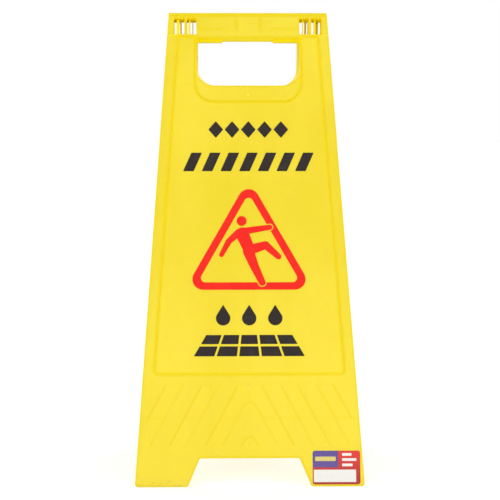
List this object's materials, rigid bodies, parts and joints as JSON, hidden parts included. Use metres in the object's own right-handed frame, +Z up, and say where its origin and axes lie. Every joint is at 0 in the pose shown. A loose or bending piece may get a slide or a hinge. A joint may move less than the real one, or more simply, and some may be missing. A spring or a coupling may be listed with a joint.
{
  "type": "wet floor sign",
  "caption": "Folding A-frame floor warning sign: two tapered moulded panels hinged along the top edge, with a hand hole, printed pictograms and a pair of feet on each.",
  "frame": {"origin": "on the floor, midway between the front and rear feet and between the left and right edges, standing open", "axes": "+Z up; the front panel faces -Y; +X to the right as seen from the front"},
  "size_m": [0.2954, 0.3108, 0.6129],
  "materials": {
    "yellow_panel": "injection-moulded polypropylene, satin with a fine texture",
    "black_ink": "screen-printed ink, satin",
    "red_ink": "screen-printed ink, satin",
    "label_red": "printed adhesive film, semi-gloss",
    "label_blue": "printed adhesive film, semi-gloss",
    "label_yellow": "printed adhesive film, semi-gloss",
    "label_white": "printed adhesive film, semi-gloss"
  },
  "bodies": {
    "front_leaf": {"front_panel": "yellow_panel", "front_diamond_row": "black_ink", "front_hazard_stripes": "black_ink", "front_warning_triangle": "red_ink", "front_slipping_figure": "red_ink", "front_water_drops": "black_ink", "front_floor_tiles": "black_ink", "stock_label": "label_red", "stock_label_blue_patch": "label_blue", "stock_label_yellow_bar": "label_yellow", "stock_label_white_patches": "label_white"},
    "rear_leaf": {"rear_panel": "yellow_panel", "rear_diamond_row": "black_ink", "rear_hazard_stripes": "black_ink", "rear_warning_triangle": "red_ink", "rear_slipping_figure": "red_ink", "rear_water_drops": "black_ink", "rear_floor_tiles": "black_ink"}
  },
  "joints": [
    {"name": "top_fold", "type": "hinge", "parent": "front_leaf", "child": "rear_leaf", "pos_m": [0, 0, 0.60295], "axis": [-1, 0, 0], "range_deg": [0, 26]}
  ]
}
